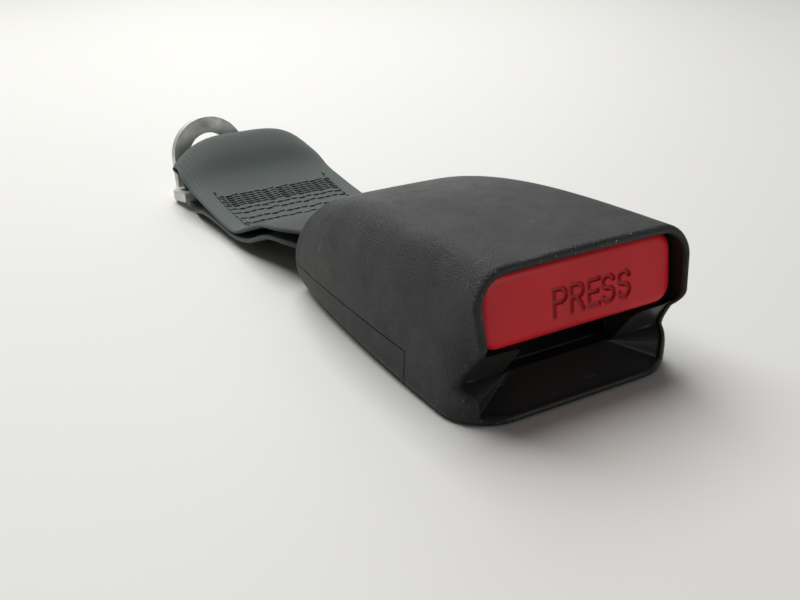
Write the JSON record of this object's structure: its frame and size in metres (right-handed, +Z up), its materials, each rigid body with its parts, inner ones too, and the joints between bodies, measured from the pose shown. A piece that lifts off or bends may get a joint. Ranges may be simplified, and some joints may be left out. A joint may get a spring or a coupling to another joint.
{
  "type": "seat belt buckle",
  "caption": "Seat belt buckle with a black grained cover and red release button on a short doubled webbing strap with a bent steel anchor plate.",
  "frame": {"origin": "centre of the bounding box's bottom, on the surface the buckle lies on", "axes": "+X across the buckle, -Y out of the button and tongue mouth, +Y along the strap to the anchor plate, +Z up"},
  "size_m": [0.0546, 0.1754, 0.032],
  "materials": {
    "cover": "fine grained, scuffed at the edges",
    "button": "satin",
    "white_plastic": "smooth",
    "plated_steel": "zinc plated",
    "anchor_steel": "zinc plated, pressed",
    "spring_steel": "plain",
    "felt": "matte",
    "webbing": "woven",
    "thread": "twisted"
  },
  "bodies": {
    "housing": {"upper_cover": "cover", "lower_cover": "cover", "frame": "plated_steel", "tongue_guide": "white_plastic", "latch_pin": "spring_steel", "pin_clip_left": "spring_steel", "pin_clip_right": "spring_steel", "latch_spring": "spring_steel", "ejector_spring": "spring_steel", "button_spring_left": "spring_steel", "button_spring_right": "spring_steel", "noise_pad": "felt", "webbing_strap": "webbing", "stitching": "thread"},
    "button": {"release_button": "button", "lock_pin": "spring_steel", "lock_slider": "white_plastic"},
    "ejector_block": {"ejector": "white_plastic"},
    "pawl": {"latch": "plated_steel"},
    "anchor": {"anchor_plate": "anchor_steel"}
  },
  "joints": [
    {"name": "button_slide", "type": "slide", "parent": "housing", "child": "button", "axis": [0, 1, 0], "range_m": [0, 0.006], "stiffness_N_per_m": 900, "springref_m": -0.004, "deforming": ["button_spring_left", "button_spring_right"]},
    {"name": "ejector_slide", "type": "slide", "parent": "housing", "child": "ejector_block", "axis": [0, 1, 0], "range_m": [0, 0.012], "stiffness_N_per_m": 400, "springref_m": -0.004, "deforming": ["ejector_spring"]},
    {"name": "latch_hinge", "type": "hinge", "parent": "housing", "child": "pawl", "pos_m": [0, -0.0405, 0.0132], "axis": [1, 0, 0], "range_deg": [0, 10.3], "deforming": ["latch_spring"]},
    {"name": "anchor_swing", "type": "hinge", "parent": "housing", "child": "anchor", "pos_m": [0, 0.0708, 0.0036], "axis": [1, 0, 0], "range_deg": [-20, 0]}
  ],
  "couplings": [
    {"joint": "latch_hinge", "follows": "ejector_slide", "rad_per_m": 14.981}
  ]
}
